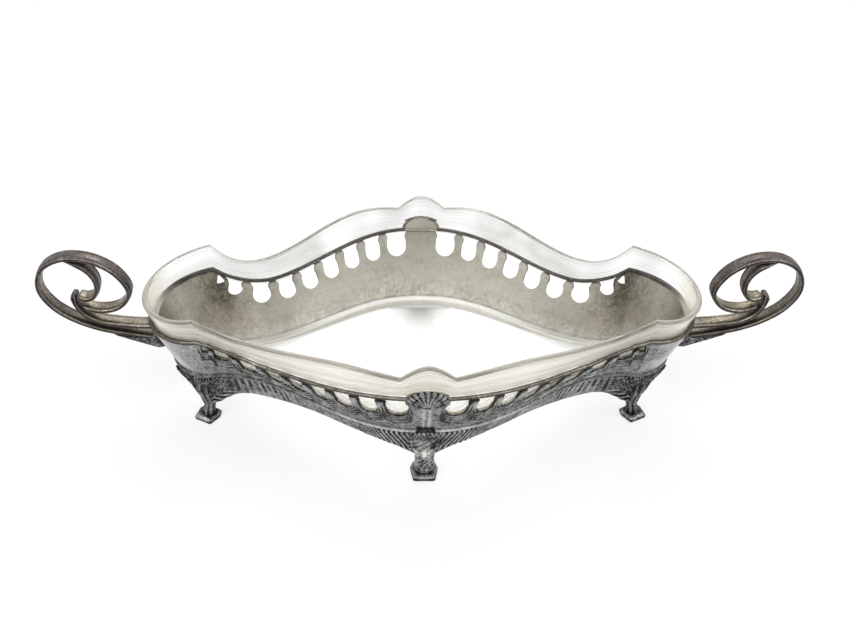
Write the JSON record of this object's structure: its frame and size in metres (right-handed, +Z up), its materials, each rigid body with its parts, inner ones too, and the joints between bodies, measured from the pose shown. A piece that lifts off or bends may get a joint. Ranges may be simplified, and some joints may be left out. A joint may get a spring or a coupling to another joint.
{
  "type": "jardiniere",
  "caption": "Long bowed openwork metal jardiniere on low feet with scroll handles at its ends, holding a clear lift-out liner with a wavy rim.",
  "frame": {"origin": "on the ground under the middle of the object", "axes": "+X along the length to the right handle, +Y to the back, +Z up"},
  "size_m": [0.4628, 0.1746, 0.1184],
  "materials": {
    "plate": "worn silver plate, satin",
    "bright": "silver plate rubbed bright on the high edges",
    "patina": "oxidised silver plate, dark in the recesses",
    "glass": "clear polished glass, faintly warm where thick"
  },
  "bodies": {
    "frame": {"gallery_back_right": "plate", "gallery_back_left": "plate", "gallery_front_right": "plate", "gallery_front_left": "plate", "end_wall_right": "plate", "end_wall_left": "plate", "liner_ledge_right": "plate", "liner_ledge_left": "plate", "rim_wire_right": "bright", "rim_wire_left": "bright", "ridge_moulding_right": "bright", "ridge_moulding_left": "bright", "skirt_back_right": "patina", "skirt_back_left": "patina", "skirt_front_right": "patina", "skirt_front_left": "patina", "foot_back_right": "patina", "foot_back_left": "patina", "foot_front_right": "patina", "foot_front_left": "patina", "foot_back_middle": "patina", "foot_front_middle": "patina", "shell_back": "patina", "shell_front": "patina", "end_skirt_right": "patina", "end_skirt_left": "patina", "handle_loop_right": "patina", "handle_loop_left": "patina", "handle_strand_right": "patina", "handle_strand_left": "patina", "handle_volute_right": "patina", "handle_volute_left": "patina", "handle_root_right": "patina", "handle_root_left": "patina"},
    "liner": {"glass_liner": "glass"}
  },
  "joints": [
    {"name": "liner_lift", "type": "slide", "parent": "frame", "child": "liner", "axis": [0, 0, 1], "range_m": [0, 0.12]}
  ]
}
